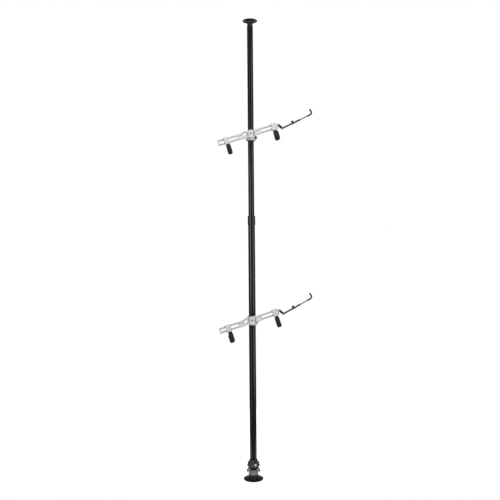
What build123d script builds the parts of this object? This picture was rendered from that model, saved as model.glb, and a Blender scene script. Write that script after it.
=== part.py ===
from build123d import *
import os
from math import cos, hypot, radians, sin

os.makedirs("parts", exist_ok=True)

# A sprung pole stands between floor and ceiling and carries two twin-rod mounts.
# Millimetres, +Z up, origin on the floor under the pole's axis.
# The mounts reach to -Y, where the carried tubes lie in rubber hooks.

# General clearances, each a radial or a face gap
running_gap = 0.06
seat_gap = 0.1
face_gap = 0.3
edge_gap = 0.2

# How far a cutting tool runs past the face it leaves
overshoot = 1.0

# Heights of the whole pole
overall_height = 2885.0
collar_bottom_height = 1598.0

# Tubes
lower_tube_diameter = 43.0
lower_tube_wall = 1.5
upper_tube_diameter = 37.0
upper_tube_wall = 1.5
tube_overlap = 542.0

# Foot pad and socket
pad_diameter = 123.0
pad_rim_height = 3.5
pad_edge_rise = 1.5
pad_slope_height = 9.0
pad_boss_diameter = 62.0
pad_boss_height = 31.0
pad_rim_slope = 1.0
pad_root_flare = 4.0
pad_root_height = 5.0
pad_boss_taper = 1.0
socket_height = 33.0
socket_top_diameter = 70.0
socket_floor = 6.0
socket_floor_gap = 2.0
socket_band = 8.0
socket_edge = 1.0
socket_shoulder = 1.5

# Pedal and the cam that lifts the pole
pole_lift = 7.0
pedal_swing = 80.0
cam_top_reach = 17.0
cam_to_arm = 18.0
axle_diameter = 7.0
axle_length = 85.0
axle_front = 34.0
axle_above_socket = 6.5
axle_head_diameter = 10.0
axle_head_length = 1.2
bracket_plate_thickness = 3.0
bracket_opening = 43.0
wing_front = 39.0
wing_back = 15.0
axle_lug_thickness = 5.0
axle_lug_gap = 72.0
axle_lug_wall = 1.6
axle_lug_drop = 9.0
pedal_hub_wall = 2.5
pedal_lever_width = 40.0
pedal_arm_thickness = 4.0
pedal_arm_width = 32.0
pedal_arm_corner = 5.0
pedal_arm_root = 6.0
pedal_arm_slope = 3.0
pedal_arm_top_drop = 8.0
cam_steps = 8
treadle_bottom_above_axle = 18.0
treadle_height = 44.0
treadle_width = 79.0
treadle_thickness = 9.0
treadle_edge = 3.0
lift_collar_height = 40.0
lift_collar_wall = 4.5
lift_collar_cone = 8.0
lift_ledge_thickness = 7.0
lift_ledge_width = 36.0
ledge_margin = 3.0

# Hand knobs: a lobe's radius and the valley's depth as shares of the rim and the lobe
knob_lobe_share = 0.42
knob_valley_share = 0.55
knob_edge = 0.8

# Junction of the two tubes
collar_height = 57.0
collar_grip_height = 30.0
collar_wall = 2.25
collar_top_edge = 1.5
collar_bottom_edge = 0.8
bush_flange_thickness = 3.0
guide_bush_length = 62.0
knob_boss_diameter = 18.0
knob_boss_reach = 33.0
height_screw_diameter = 8.0
height_knob_diameter = 32.0
height_knob_thickness = 15.0
height_knob_lobes = 6
height_screw_gap = 0.5
shoe_flange_height = 8.0
shoe_spigot_height = 20.0

# Ceiling foot
plate_diameter = 91.0
plate_thickness = 2.5
ceiling_pad_thickness = 2.5
ceiling_pad_edge = 0.8
plate_edge = 1.0
ceiling_travel = 18.0
cone_height = 14.0
cone_top_diameter = 44.0
plunger_length = 64.0
spring_length = 170.0
spring_diameter = 31.0
spring_bore = 23.0
spring_shelf_height = 6.0
spring_shelf_bore = 24.0

# Clamp round the tube, measured from the tilt axis of its mount
liner_outer_diameter = 47.0
liner_flange = 1.0
liner_flange_height = 2.0
clamp_wall = 6.9
clamp_top = 16.0
clamp_bottom = -36.0
clamp_slit = 3.0
clamp_edge = 1.2
ear_thickness = 10.5
ear_reach = 50.0
ear_height = 28.0
ear_corner = 6.0
cross_bolt_height = -17.0
cross_bolt_back = 41.0
cross_bolt_diameter = 6.0
nut_diameter = 13.0
nut_thickness = 6.0
bolt_end = 2.0
lever_pivot_diameter = 5.0
lever_height = 14.0
lever_hub_radius = 7.0
lever_hub_shift = 0.85
lever_thickness = 6.2
lever_slot_height = 6.6
lever_ring_gap = 1.6
lever_swing = 150
lever_slot_gap = 0.6
lever_pin_end = 0.5
lever_tip_angle = -32.0
lever_middle_angle = 8.0
lever_root_angle = 46.0
lever_slot_step = 30
barrel_radius = 4.5

# Tilt hub
boss_diameter = 40.0
boss_face = 45.0
spigot_diameter = 26.0
hub_wall_thickness = 7.8
hub_half_width = 30.0
hub_top = 20.0
hub_bottom = -24.0
hub_corner = 6.0
cheek_thickness = 6.5
cheek_front = 67.0
block_width = 32.0
block_top = 22.0
block_bottom = -26.0
block_depth = 17.0
block_side_depth = 9.0
block_corner = 9.0
pivot_bolt_diameter = 8.0
pivot_head_diameter = 15.0
pivot_head_height = 6.0
pivot_bolt_reach = 16.0
pivot_head_sink = 1.0
pivot_key_radius = 3.5
pivot_key_depth = 4.0

# Arm casting and rods, in the arm's own frame
rod_front = 60.0
rod_pitch = 24.0
rod_diameter = 12.0
socket_wall = 1.6
web_thickness = 6.0
left_web_end = -91.0
left_window_end = -56.0
right_web_end = 64.0
brace_top = 25.0
brace_drop = 5.0
brace_depth = 14.0
brace_overlap = 6.0
lower_brace_length = 32.0
web_edge = 1.0
rod_insert = 31.0
rod_left_end = -212.0
rod_right_end = 170.0
end_cap_thickness = 7.0
end_cap_radius = 7.2
end_cap_floor = 2.0

# Brackets and hooks
left_bracket_place = -155.0
right_bracket_place = 149.0
bracket_length = 31.0
bracket_height = 45.0
bracket_depth = 20.0
bracket_corner = 3.0
bracket_front_corner = 4.0
bush_wall = 1.44
bush_flange = 1.4
bush_flange_thickness_side = 2.5
lock_screw_diameter = 6.0
lock_knob_diameter = 22.0
lock_knob_thickness = 13.0
lock_knob_neck = 3.5
lock_knob_lobes = 5
lock_screw_gap = 1.0
hook_width = 29.0
hook_neck_width = 24.0
hook_back_front = 52.0
hook_wall = 9.0
cradle_radius = 21.0
cradle_drop = 48.0
hook_bottom_drop = 91.0
tongue_top_drop = 37.0
hook_core_width = 18.0
hook_core_thickness = 4.0
hook_corner = 8.0
hook_shoulder = 3.0

# Steering stabiliser
stabiliser_front = 51.0
eye_thickness = 6.6
link_thickness = 14.0
link_radius = 6.8
link_length = 32.0
link_slot = 7.2
link_foot_along = 179.5
link_foot_up = 3.0
link_pin_diameter = 6.0
pin_head_lip = 1.5
pin_head_height = 1.2
link_slot_gap = 3.0
foot_slot_gap = 1.5
eye_radius = 6.0
outer_tube_diameter = 10.0
outer_tube_start = 12.0
outer_tube_end = 122.0
outer_bore_start = 14.0
inner_rod_diameter = 6.0
inner_rod_start = 25.0
inner_rod_bend = 190.0
hook_bend_radius = 16.0
hook_bend_angle = 100.0
hook_tip_length = 12.0
knob_place = 73.0
knob_boss_length = 14.0
knob_boss_radius = 6.5
knob_post_radius = 5.0
knob_boss_top = 7.6
stabiliser_screw_diameter = 5.0
stabiliser_knob_diameter = 17.0
stabiliser_knob_bottom = 8.0
stabiliser_knob_height = 8.0
stabiliser_knob_crown = 3.5
stabiliser_knob_edge = 1.5
stabiliser_screw_gap = 0.4
grip_diameter = 10.0
grip_start = 170.0
grip_cap = 2.0

# Right half of the treadle's outline: shares of its half width and of its height, from the top
treadle_outline = [
    (0.6, 0.0),
    (0.92, 0.16),
    (0.87, 0.39),
    (1.0, 0.57),
    (0.96, 0.75),
    (0.66, 1.0),
]

# Slanted window in the arm's left web: places along the rods from its left end, and across
window_corners = [
    (4.0, -1.0),
    (10.0, 9.0),
    (26.0, 14.5),
    (26.0, 5.0),
    (13.0, -4.0),
]

# The two mounts: prefix, height of the tilt axis, tilt, tube diameter, then the link's and
# the stabiliser's angles, both measured from the rods
mounts = [
    ("upper", 2164.5, 16.0, upper_tube_diameter, -54.0, 9.5),
    ("lower", 1006.0, 18.0, lower_tube_diameter, -58.5, 10.8),
]

# Places that follow from the sizes above
lower_tube_radius = lower_tube_diameter / 2
lower_bore_radius = lower_tube_radius - lower_tube_wall
upper_tube_radius = upper_tube_diameter / 2
upper_bore_radius = upper_tube_radius - upper_tube_wall
socket_top = pad_boss_height + socket_height
axle_height = socket_top + axle_above_socket
socket_bore_radius = lower_tube_radius + seat_gap
lower_tube_bottom = pad_boss_height + socket_floor + pole_lift + socket_floor_gap
collar_top_height = collar_bottom_height + collar_height
lower_tube_top = collar_top_height - collar_grip_height - bush_flange_thickness
upper_tube_bottom = lower_tube_top - tube_overlap
ledge_bottom = axle_height + cam_top_reach + face_gap
collar_outer_radius = lower_tube_radius + collar_wall
height_knob_height = collar_top_height - collar_grip_height / 2
plate_top = overall_height - ceiling_pad_thickness
plate_bottom = plate_top - plate_thickness
cone_bottom = plate_bottom - cone_height
upper_tube_top = cone_bottom - ceiling_travel
plunger_bottom = upper_tube_top - plunger_length
spring_bottom = plunger_bottom - spring_length
liner_radius = liner_outer_diameter / 2
clamp_bore_radius = liner_radius + running_gap
clamp_outer_radius = clamp_bore_radius + clamp_wall
ear_side = clamp_slit / 2 + ear_thickness
hub_wall_front = boss_face + edge_gap + hub_wall_thickness
block_back = hub_wall_front + edge_gap
block_front = block_back + block_depth
rod_radius = rod_diameter / 2
rod_half_pitch = rod_pitch / 2
socket_radius = rod_radius + socket_wall
bush_outer_radius = rod_radius + running_gap + bush_wall
lever_pivot_place = ear_side + lever_hub_radius + lever_hub_shift + face_gap / 2
pedal_arm_back = lower_tube_radius + lift_collar_wall + cam_to_arm
right_cap_face = rod_right_end + end_cap_floor


def finish(part, name):
    """Label one piece and write it."""
    part.label = name
    export_step(part, f"parts/{name}.step")


def arm_plane(height, tilt):
    """Front plane of a mount: x along the rods, y across them, z towards the front."""
    return Plane(
        origin=(0, 0, height),
        x_dir=(cos(radians(tilt)), 0, sin(radians(tilt))),
        z_dir=(0, -1, 0),
    )


def section(plane, along):
    """Plane square to the rods at a place along them: x towards the front, y across."""
    return Plane(
        origin=plane.from_local_coords((along, 0, 0)),
        x_dir=plane.z_dir,
        z_dir=plane.x_dir * -1,
    )


def upright(plane, up):
    """Plane square to the arm's y at a place up it: x along the rods, y towards the front."""
    return Plane(
        origin=plane.from_local_coords((0, up, 0)),
        x_dir=plane.x_dir,
        z_dir=plane.y_dir * -1,
    )


def link_ends(link_angle):
    """The link's two pivots as places on the mount's front plane."""
    along = link_foot_along + link_length * cos(radians(link_angle))
    up = link_foot_up + link_length * sin(radians(link_angle))
    return [(link_foot_along, link_foot_up), (along, up)]


def stabiliser_plane(plane, link_angle, angle):
    """Plane through the stabiliser's axis: x along the tube, origin at the link's end."""
    along, up = link_ends(link_angle)[1]
    return Plane(
        origin=plane.from_local_coords((along, up, stabiliser_front)),
        x_dir=plane.x_dir * cos(radians(angle)) + plane.y_dir * sin(radians(angle)),
        z_dir=plane.z_dir,
    )


# Foot

def foot_pad():
    """Rubber disc with a tapered boss that fills the socket's underside."""
    rim = pad_diameter / 2
    boss = pad_boss_diameter / 2
    with BuildPart() as pad:
        with BuildSketch(Plane.XZ):
            with BuildLine():
                Polyline(
                    (0, 0),
                    (rim - pad_edge_rise, 0),
                    (rim, pad_edge_rise),
                    (rim, pad_rim_height),
                    (rim - pad_edge_rise, pad_rim_height + pad_rim_slope),
                    (boss + pad_root_flare, pad_slope_height),
                    (boss, pad_slope_height + pad_root_height),
                    (boss - pad_boss_taper, pad_boss_height),
                    (0, pad_boss_height),
                    close=True,
                )
            make_face()
        revolve(axis=Axis.Z)
    return pad.part


def foot_socket():
    """Turned cup that guides the lower tube's foot."""
    top = socket_top_diameter / 2
    bottom = pad_boss_diameter / 2 - pad_boss_taper
    band_bottom = socket_top - socket_band
    with BuildPart() as socket:
        with BuildSketch(Plane.XZ):
            with BuildLine():
                Polyline(
                    (0, pad_boss_height),
                    (bottom, pad_boss_height),
                    (top - socket_shoulder, band_bottom - socket_edge),
                    (top, band_bottom),
                    (top, socket_top - socket_edge),
                    (top - socket_edge, socket_top),
                    (socket_bore_radius, socket_top),
                    (socket_bore_radius, pad_boss_height + socket_floor),
                    (0, pad_boss_height + socket_floor),
                    close=True,
                )
            make_face()
        revolve(axis=Axis.Z)
    return socket.part


def axle_bracket():
    """Plate on the socket with a wing at each side and a lug under it for the pedal's axle."""
    lug_centre = (axle_lug_gap + axle_lug_thickness) / 2
    lug_radius = axle_diameter / 2 + axle_lug_wall
    lug_foot = socket_top - axle_lug_drop + lug_radius
    wing_side = lug_centre + axle_lug_thickness / 2
    with BuildPart() as bracket:
        with BuildSketch(Plane.XY.offset(socket_top)):
            Circle(socket_top_diameter / 2)
            with Locations((0, -(wing_front + wing_back) / 2)):
                Rectangle(2 * wing_side, wing_front - wing_back)
            Circle(socket_bore_radius + edge_gap, mode=Mode.SUBTRACT)
            with Locations((0, -axle_front)):
                Rectangle(bracket_opening, 2 * (axle_front - lower_tube_radius), mode=Mode.SUBTRACT)
        extrude(amount=bracket_plate_thickness)
        for side in (-1, 1):
            with BuildSketch(Plane.YZ.offset(side * lug_centre)):
                with Locations((-axle_front, (axle_height + lug_foot) / 2)):
                    SlotCenterToCenter(axle_height - lug_foot, 2 * lug_radius, rotation=90)
            extrude(amount=axle_lug_thickness / 2, both=True)
        with BuildSketch(Plane.YZ):
            with Locations((-axle_front, axle_height)):
                Circle(axle_diameter / 2)
        extrude(amount=axle_length, both=True, mode=Mode.SUBTRACT)
    return bracket.part


def pedal_axle():
    """Cross bar with a head at each end."""
    with BuildPart() as axle:
        with BuildSketch(Plane.YZ):
            with Locations((-axle_front, axle_height)):
                Circle(axle_diameter / 2)
        extrude(amount=axle_length / 2, both=True)
        for side in (-1, 1):
            with BuildSketch(Plane.YZ.offset(side * (axle_length / 2 - axle_head_length / 2))):
                with Locations((-axle_front, axle_height)):
                    Circle(axle_head_diameter / 2)
            extrude(amount=axle_head_length / 2, both=True)
        chamfer(axle.faces().sort_by(Axis.X)[-1].edges(), axle_head_length / 2)
        chamfer(axle.faces().sort_by(Axis.X)[0].edges(), axle_head_length / 2)
    return axle.part


def cam_point(turn):
    """Point of the lifting cam that touches the ledge after the pedal has turned by this angle.

    The ledge falls in step with the turn, so the cam is an involute: its reach above the axle
    drops by a steady amount for each degree, and the contact stays at one distance in front.
    """
    drop = pole_lift / radians(pedal_swing)
    reach = cam_top_reach - drop * radians(turn)
    back = reach * sin(radians(turn)) - drop * cos(radians(turn))
    up = reach * cos(radians(turn)) + drop * sin(radians(turn))
    return (back, up)


def pedal_lever():
    """Hub, lifting cam and the arm that carries the treadle."""
    hub = axle_diameter / 2 + pedal_hub_wall
    arm_back = axle_front - pedal_arm_back
    arm_front = arm_back - pedal_arm_thickness
    arm_top = treadle_bottom_above_axle + treadle_height - pedal_arm_top_drop
    arm_root = cam_top_reach - pedal_arm_root
    slope_foot = (arm_front, cam_top_reach - pedal_arm_slope)
    cam = [cam_point(pedal_swing * step / cam_steps) for step in range(cam_steps + 1)]
    with BuildPart() as lever:
        with BuildSketch(Plane.YZ.shift_origin((0, -axle_front, axle_height))):
            Circle(hub)
            with BuildLine():
                edge = Spline(*cam)
                Line(edge @ 0, (arm_back, cam_top_reach))
                Line((arm_back, cam_top_reach), slope_foot)
                Line(slope_foot, (-hub, 0))
                Line((-hub, 0), (hub, 0))
                Line((hub, 0), edge @ 1)
            make_face()
        extrude(amount=pedal_lever_width / 2, both=True)
        with BuildSketch(Plane.XZ.offset(axle_front - arm_back)):
            with Locations((0, axle_height + (arm_root + arm_top) / 2)):
                RectangleRounded(pedal_arm_width, arm_top - arm_root, pedal_arm_corner)
        extrude(amount=pedal_arm_thickness)
        with BuildSketch(Plane.YZ):
            with Locations((-axle_front, axle_height)):
                Circle(axle_diameter / 2 + running_gap)
        extrude(amount=pedal_lever_width, both=True, mode=Mode.SUBTRACT)
    return lever.part


def treadle():
    """Rounded foot plate with a shoulder lobe and a side lobe on each side."""
    top = axle_height + treadle_bottom_above_axle + treadle_height
    half = treadle_width / 2
    right = [(half * share, top - treadle_height * depth) for share, depth in treadle_outline]
    left = [(-x, z) for x, z in reversed(right)]
    back = pedal_arm_back + pedal_arm_thickness
    with BuildPart() as plate:
        with BuildSketch(Plane.XZ.offset(back)) as outline:
            with BuildLine():
                Polyline(*right, *left, close=True)
            make_face()
            fillet(outline.vertices(), treadle_edge)
        extrude(amount=treadle_thickness)
        fillet(plate.faces().sort_by(Axis.Y)[0].edges(), treadle_edge)
    return plate.part


# Tubes and what joins them

def plain_tube(radius, bore, bottom, top):
    """Straight tube round the pole's axis."""
    with BuildPart() as tube:
        with BuildSketch(Plane.XY.offset(bottom)):
            Circle(radius)
            Circle(bore, mode=Mode.SUBTRACT)
        extrude(amount=top - bottom)
    return tube.part


def upper_tube():
    """Upper tube with a rolled-in shelf for the ceiling spring."""
    with BuildPart() as tube:
        add(plain_tube(upper_tube_radius, upper_bore_radius, upper_tube_bottom, upper_tube_top))
        with BuildSketch(Plane.XY.offset(spring_bottom - spring_shelf_height)):
            Circle(upper_bore_radius + upper_tube_wall / 2)
            Circle(spring_shelf_bore / 2, mode=Mode.SUBTRACT)
        extrude(amount=spring_shelf_height)
    return tube.part


def lift_collar():
    """Sleeve fixed to the lower tube, with the ledge that the cam pushes up."""
    ledge_front = axle_front + pole_lift / radians(pedal_swing) + ledge_margin
    outer = lower_tube_radius + lift_collar_wall
    top = ledge_bottom + lift_collar_height
    with BuildPart() as ring:
        with BuildSketch(Plane.XZ):
            with BuildLine():
                Polyline(
                    (0, ledge_bottom),
                    (outer, ledge_bottom),
                    (outer, top - lift_collar_cone),
                    (lower_tube_radius + edge_gap, top),
                    (0, top),
                    close=True,
                )
            make_face()
        revolve(axis=Axis.Z)
        with BuildSketch(Plane.XY.offset(ledge_bottom)):
            with Locations((0, -ledge_front / 2)):
                Rectangle(lift_ledge_width, ledge_front)
        extrude(amount=lift_ledge_thickness)
        with BuildSketch(Plane.XY.offset(ledge_bottom)):
            Circle(lower_tube_radius)
        extrude(amount=lift_collar_height, mode=Mode.SUBTRACT)
    return ring.part


def guide_bush():
    """Flanged bush in the lower tube's mouth that guides the upper tube."""
    with BuildPart() as bush:
        with BuildSketch(Plane.XY.offset(lower_tube_top - guide_bush_length)):
            Circle(lower_bore_radius)
        extrude(amount=guide_bush_length)
        with BuildSketch(Plane.XY.offset(lower_tube_top)):
            Circle(lower_tube_radius)
        extrude(amount=bush_flange_thickness)
        with BuildSketch(Plane.XY.offset(lower_tube_top - guide_bush_length)):
            Circle(upper_tube_radius + running_gap)
        extrude(amount=guide_bush_length + bush_flange_thickness, mode=Mode.SUBTRACT)
    return bush.part


def height_collar():
    """Sleeve on the lower tube's top with a boss for the height knob's screw."""
    fixed_height = collar_height - collar_grip_height
    with BuildPart() as collar:
        with BuildSketch(Plane.XY.offset(collar_bottom_height)):
            Circle(collar_outer_radius)
        extrude(amount=collar_height)
        chamfer(collar.faces().sort_by(Axis.Z)[-1].edges(), collar_top_edge)
        chamfer(collar.faces().sort_by(Axis.Z)[0].edges(), collar_bottom_edge)
        with BuildSketch(Plane.XZ):
            with Locations((0, height_knob_height)):
                Circle(knob_boss_diameter / 2)
        extrude(amount=-knob_boss_reach)
        with BuildSketch(Plane.XY.offset(collar_bottom_height)):
            Circle(lower_tube_radius)
        extrude(amount=fixed_height, mode=Mode.SUBTRACT)
        with BuildSketch(Plane.XY.offset(collar_bottom_height + fixed_height)):
            Circle(upper_tube_radius + seat_gap)
        extrude(amount=collar_grip_height, mode=Mode.SUBTRACT)
        with BuildSketch(Plane.XZ):
            with Locations((0, height_knob_height)):
                Circle(height_screw_diameter / 2 + running_gap)
        extrude(amount=-knob_boss_reach - overshoot, mode=Mode.SUBTRACT)
    return collar.part


def lobed_knob(plane, diameter, thickness, lobes, stem_diameter, stem_length):
    """Hand knob with round lobes, its stem going down from the plane it stands on."""
    rim = diameter / 2
    lobe = rim * knob_lobe_share
    with BuildPart() as knob:
        with BuildSketch(plane):
            Circle(rim - lobe * knob_valley_share)
            with PolarLocations(rim - lobe, lobes):
                Circle(lobe)
        extrude(amount=thickness)
        chamfer(knob.faces().sort_by(Axis(plane.origin, plane.z_dir))[-1].edges(), knob_edge)
        with BuildSketch(plane):
            Circle(stem_diameter / 2)
        extrude(amount=-stem_length)
    return knob.part


def slide_shoe():
    """Plug in the upper tube's foot that slides in the lower tube."""
    with BuildPart() as shoe:
        with BuildSketch(Plane.XY.offset(upper_tube_bottom - shoe_flange_height)):
            Circle(lower_bore_radius - running_gap)
        extrude(amount=shoe_flange_height)
        with BuildSketch(Plane.XY.offset(upper_tube_bottom)):
            Circle(upper_bore_radius)
        extrude(amount=shoe_spigot_height)
    return shoe.part


# Ceiling end

def ceiling_spring():
    """Compression spring inside the tube, as the sleeve that its wire fills."""
    return plain_tube(spring_diameter / 2, spring_bore / 2, spring_bottom, plunger_bottom)


def ceiling_foot():
    """Plunger stem, cone and thin round plate in one forging."""
    stem = upper_bore_radius - running_gap
    plate = plate_diameter / 2
    with BuildPart() as foot:
        with BuildSketch(Plane.XZ):
            with BuildLine():
                Polyline(
                    (0, plunger_bottom),
                    (stem, plunger_bottom),
                    (stem, cone_bottom),
                    (upper_tube_radius, cone_bottom),
                    (cone_top_diameter / 2, plate_bottom),
                    (plate - plate_edge, plate_bottom),
                    (plate, plate_bottom + plate_edge),
                    (plate, plate_top),
                    (0, plate_top),
                    close=True,
                )
            make_face()
        revolve(axis=Axis.Z)
    return foot.part


def ceiling_pad():
    """Rubber disc under the ceiling."""
    with BuildPart() as pad:
        with BuildSketch(Plane.XY.offset(plate_top)):
            Circle(plate_diameter / 2)
        extrude(amount=ceiling_pad_thickness)
        chamfer(pad.faces().sort_by(Axis.Z)[-1].edges(), ceiling_pad_edge)
    return pad.part


# Clamp of a mount

def liner(height, tube_diameter):
    """Flanged plastic sleeve that takes up the space between clamp and tube."""
    bottom = height + clamp_bottom
    length = clamp_top - clamp_bottom
    flange = liner_radius + liner_flange
    with BuildPart() as sleeve:
        with BuildSketch(Plane.XY.offset(bottom)):
            Circle(liner_radius)
        extrude(amount=length)
        for level in (bottom - liner_flange_height - edge_gap, bottom + length + edge_gap):
            with BuildSketch(Plane.XY.offset(level)):
                Circle(flange)
            extrude(amount=liner_flange_height)
        with BuildSketch(Plane.XY.offset(bottom - edge_gap)):
            Circle(liner_radius)
        extrude(amount=length + 2 * edge_gap)
        with BuildSketch(Plane.XY.offset(bottom - liner_flange_height - edge_gap)):
            Circle(tube_diameter / 2 + running_gap)
        extrude(amount=length + 2 * (liner_flange_height + edge_gap), mode=Mode.SUBTRACT)
    return sleeve.part


def clamp_body(height):
    """Split ring with ears at the back and the tilt boss at the front."""
    bolt_level = height + cross_bolt_height
    front = Plane(origin=(0, 0, height), x_dir=(1, 0, 0), z_dir=(0, -1, 0))
    with BuildPart() as body:
        with BuildSketch(Plane.XY.offset(height + clamp_bottom)):
            Circle(clamp_outer_radius)
        extrude(amount=clamp_top - clamp_bottom)
        chamfer(body.faces().filter_by(Axis.Z).edges(), clamp_edge)
        with BuildSketch(Plane.YZ):
            with Locations((ear_reach / 2, bolt_level)):
                RectangleRounded(ear_reach, ear_height, ear_corner)
        extrude(amount=ear_side, both=True)
        with BuildSketch(front):
            Circle(boss_diameter / 2)
        extrude(amount=boss_face)
        with BuildSketch(front.offset(boss_face)):
            Circle(spigot_diameter / 2)
        extrude(amount=block_back - boss_face)
        with BuildSketch(Plane.XY.offset(height + clamp_bottom - overshoot)):
            Circle(clamp_bore_radius)
        extrude(amount=boss_diameter * 2, mode=Mode.SUBTRACT)
        with BuildSketch(Plane.XY.offset(height + clamp_top)):
            Circle(clamp_bore_radius + liner_flange + edge_gap)
        extrude(amount=boss_diameter, mode=Mode.SUBTRACT)
        with BuildSketch(Plane.XY.offset(height + clamp_bottom - overshoot)):
            with Locations((0, ear_reach)):
                Rectangle(clamp_slit, ear_reach + clamp_bore_radius)
        extrude(amount=boss_diameter * 2, mode=Mode.SUBTRACT)
        with BuildSketch(Plane.YZ):
            with Locations((cross_bolt_back, bolt_level)):
                Circle(cross_bolt_diameter / 2)
        extrude(amount=ear_side + overshoot, both=True, mode=Mode.SUBTRACT)
        with BuildSketch(front.offset(block_back)):
            Circle(pivot_bolt_diameter / 2)
        extrude(amount=-pivot_bolt_reach, mode=Mode.SUBTRACT)
    return body.part


def clamp_bolts(height):
    """Cross bolt with its nut and lever pin, and the pivot bolt in the block."""
    bolt_level = height + cross_bolt_height
    front = Plane(origin=(0, 0, height), x_dir=(1, 0, 0), z_dir=(0, -1, 0))
    with BuildPart() as bolts:
        with BuildSketch(Plane.YZ.offset(-ear_side - nut_thickness)):
            with Locations((cross_bolt_back, bolt_level)):
                RegularPolygon(nut_diameter / 2, 6)
        extrude(amount=nut_thickness)
        with BuildSketch(Plane.YZ.offset(-ear_side - nut_thickness - bolt_end)):
            with Locations((cross_bolt_back, bolt_level)):
                Circle(cross_bolt_diameter / 2)
        extrude(amount=ear_side + nut_thickness + bolt_end + lever_pivot_place)
        with BuildSketch(Plane.XY.offset(bolt_level)):
            with Locations((lever_pivot_place, cross_bolt_back)):
                Circle(barrel_radius)
        extrude(amount=cross_bolt_diameter / 2, both=True)
        with BuildSketch(Plane.XY.offset(bolt_level)):
            with Locations((lever_pivot_place, cross_bolt_back)):
                Circle(lever_pivot_diameter / 2)
        extrude(amount=lever_height / 2 + lever_pin_end, both=True)
        with BuildSketch(front.offset(block_back)):
            Circle(pivot_bolt_diameter / 2)
        extrude(amount=-pivot_bolt_reach)
        with BuildSketch(front.offset(block_back)):
            Circle(pivot_bolt_diameter / 2)
        extrude(amount=block_depth - pivot_head_height - pivot_head_sink)
        with BuildSketch(front.offset(block_front - pivot_head_height - pivot_head_sink)):
            Circle(pivot_head_diameter / 2)
        extrude(amount=pivot_head_height)
        with BuildSketch(front.offset(block_front - pivot_head_sink)):
            RegularPolygon(pivot_key_radius, 6)
        extrude(amount=-pivot_key_depth, mode=Mode.SUBTRACT)
    return bolts.part


def clamp_lever(height):
    """Cam lever that lies along the ring's right side when it is closed.

    The bolt's barrel and shank lie in a slot in the hub. The slot runs round the hub's back,
    so that the shank stays clear of it as the lever swings open.
    """
    inner = clamp_outer_radius + lever_ring_gap
    outer = inner + lever_thickness
    level = Plane.XY.offset(height + cross_bolt_height)
    hub_x = lever_pivot_place - lever_hub_shift
    tip = radians(lever_tip_angle)
    middle = radians(lever_middle_angle)
    root = radians(lever_root_angle)
    with BuildPart() as lever:
        with BuildSketch(level):
            with BuildLine():
                inside = ThreePointArc(
                    (inner * cos(tip), inner * sin(tip)),
                    (inner * cos(middle), inner * sin(middle)),
                    (inner * cos(root), inner * sin(root)),
                )
                outside = ThreePointArc(
                    (outer * cos(tip), outer * sin(tip)),
                    (outer * cos(middle), outer * sin(middle)),
                    (outer * cos(root), outer * sin(root)),
                )
                Line(inside @ 0, outside @ 0)
                Line(outside @ 1, (hub_x + lever_hub_radius, cross_bolt_back))
                Line((hub_x + lever_hub_radius, cross_bolt_back), (hub_x, cross_bolt_back))
                Line((hub_x, cross_bolt_back), inside @ 1)
            make_face()
            with Locations((hub_x, cross_bolt_back)):
                Circle(lever_hub_radius)
        extrude(amount=lever_height / 2, both=True)
        with BuildSketch(level):
            with Locations((lever_pivot_place, cross_bolt_back)):
                Circle(barrel_radius + lever_slot_gap)
                for turn in range(0, lever_swing + 1, lever_slot_step):
                    Rectangle(
                        2 * lever_hub_radius,
                        cross_bolt_diameter + 2 * lever_slot_gap,
                        rotation=180 - turn,
                        align=(Align.MIN, Align.CENTER),
                    )
        extrude(amount=lever_slot_height / 2, both=True, mode=Mode.SUBTRACT)
        with BuildSketch(level):
            with Locations((lever_pivot_place, cross_bolt_back)):
                Circle(lever_pivot_diameter / 2 + running_gap)
        extrude(amount=lever_height, both=True, mode=Mode.SUBTRACT)
    return lever.part


def pivot_block(height):
    """Upright block with a crowned front that holds the arm's hub on the spigot."""
    half = block_width / 2
    front = Plane(origin=(0, 0, height), x_dir=(1, 0, 0), z_dir=(0, -1, 0))
    with BuildPart() as block:
        with BuildSketch(Plane.XY.offset(height + block_bottom)):
            with BuildLine():
                crown = ThreePointArc(
                    (-half, -block_back - block_side_depth),
                    (0, -block_front),
                    (half, -block_back - block_side_depth),
                )
                Polyline(crown @ 1, (half, -block_back), (-half, -block_back), crown @ 0)
            make_face()
        extrude(amount=block_top - block_bottom)
        with BuildSketch(front.offset(block_back)):
            with Locations((0, (block_top + block_bottom) / 2)):
                RectangleRounded(block_width, block_top - block_bottom, block_corner)
        extrude(amount=block_depth, mode=Mode.INTERSECT)
        with BuildSketch(front.offset(block_back)):
            Circle(pivot_bolt_diameter / 2)
        extrude(amount=block_depth, mode=Mode.SUBTRACT)
        with BuildSketch(front.offset(block_front - pivot_head_height - pivot_head_sink)):
            Circle(pivot_head_diameter / 2)
        extrude(amount=pivot_head_height + 2 * pivot_head_sink, mode=Mode.SUBTRACT)
    return block.part


# Arm of a mount

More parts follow.
